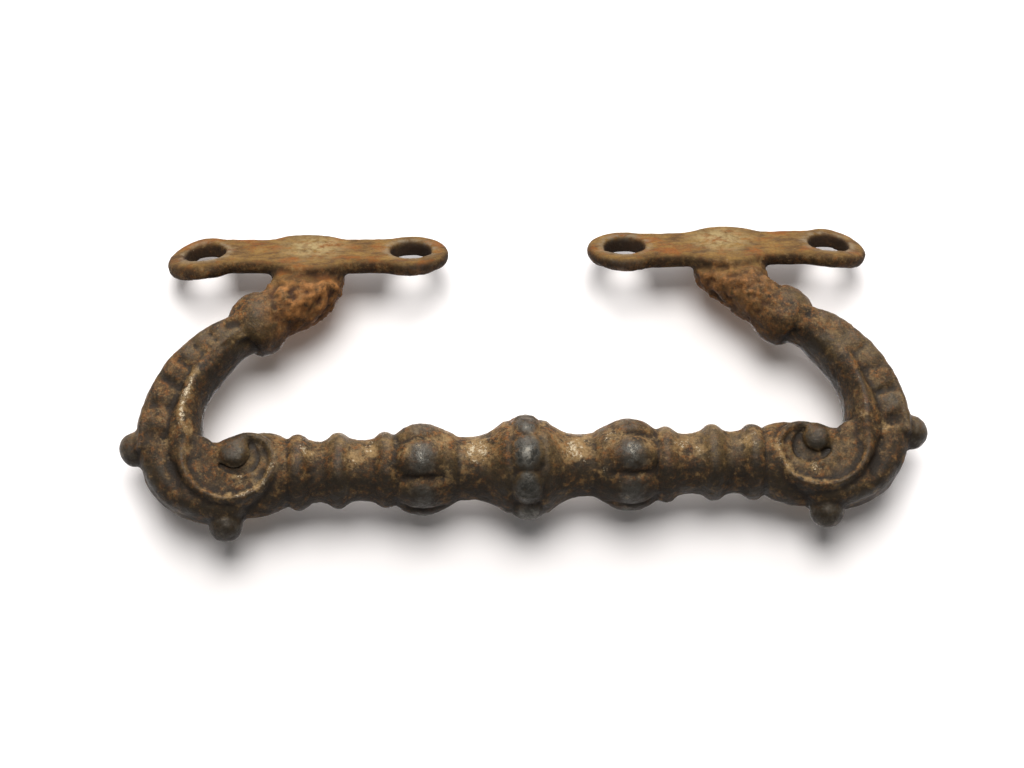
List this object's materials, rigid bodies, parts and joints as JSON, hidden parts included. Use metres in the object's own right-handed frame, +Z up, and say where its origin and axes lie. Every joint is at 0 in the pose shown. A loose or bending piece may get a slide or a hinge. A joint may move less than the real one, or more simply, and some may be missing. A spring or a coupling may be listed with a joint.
{
  "type": "drawer pull",
  "caption": "Ornate cast-iron drawer pull with a turned hand bar on scrolled arms rising from a pair of flat screw feet, rusted and worn.",
  "frame": {"origin": "on the mounting plane, midway between the feet, level with the screw holes", "axes": "+X along the hand bar, +Y into the drawer front, +Z up the drawer front"},
  "size_m": [0.1048, 0.0286, 0.0361],
  "materials": {
    "iron": "rusted and worn bare cast iron"
  },
  "bodies": {
    "root": {"drawer_pull": "iron"}
  },
  "joints": []
}
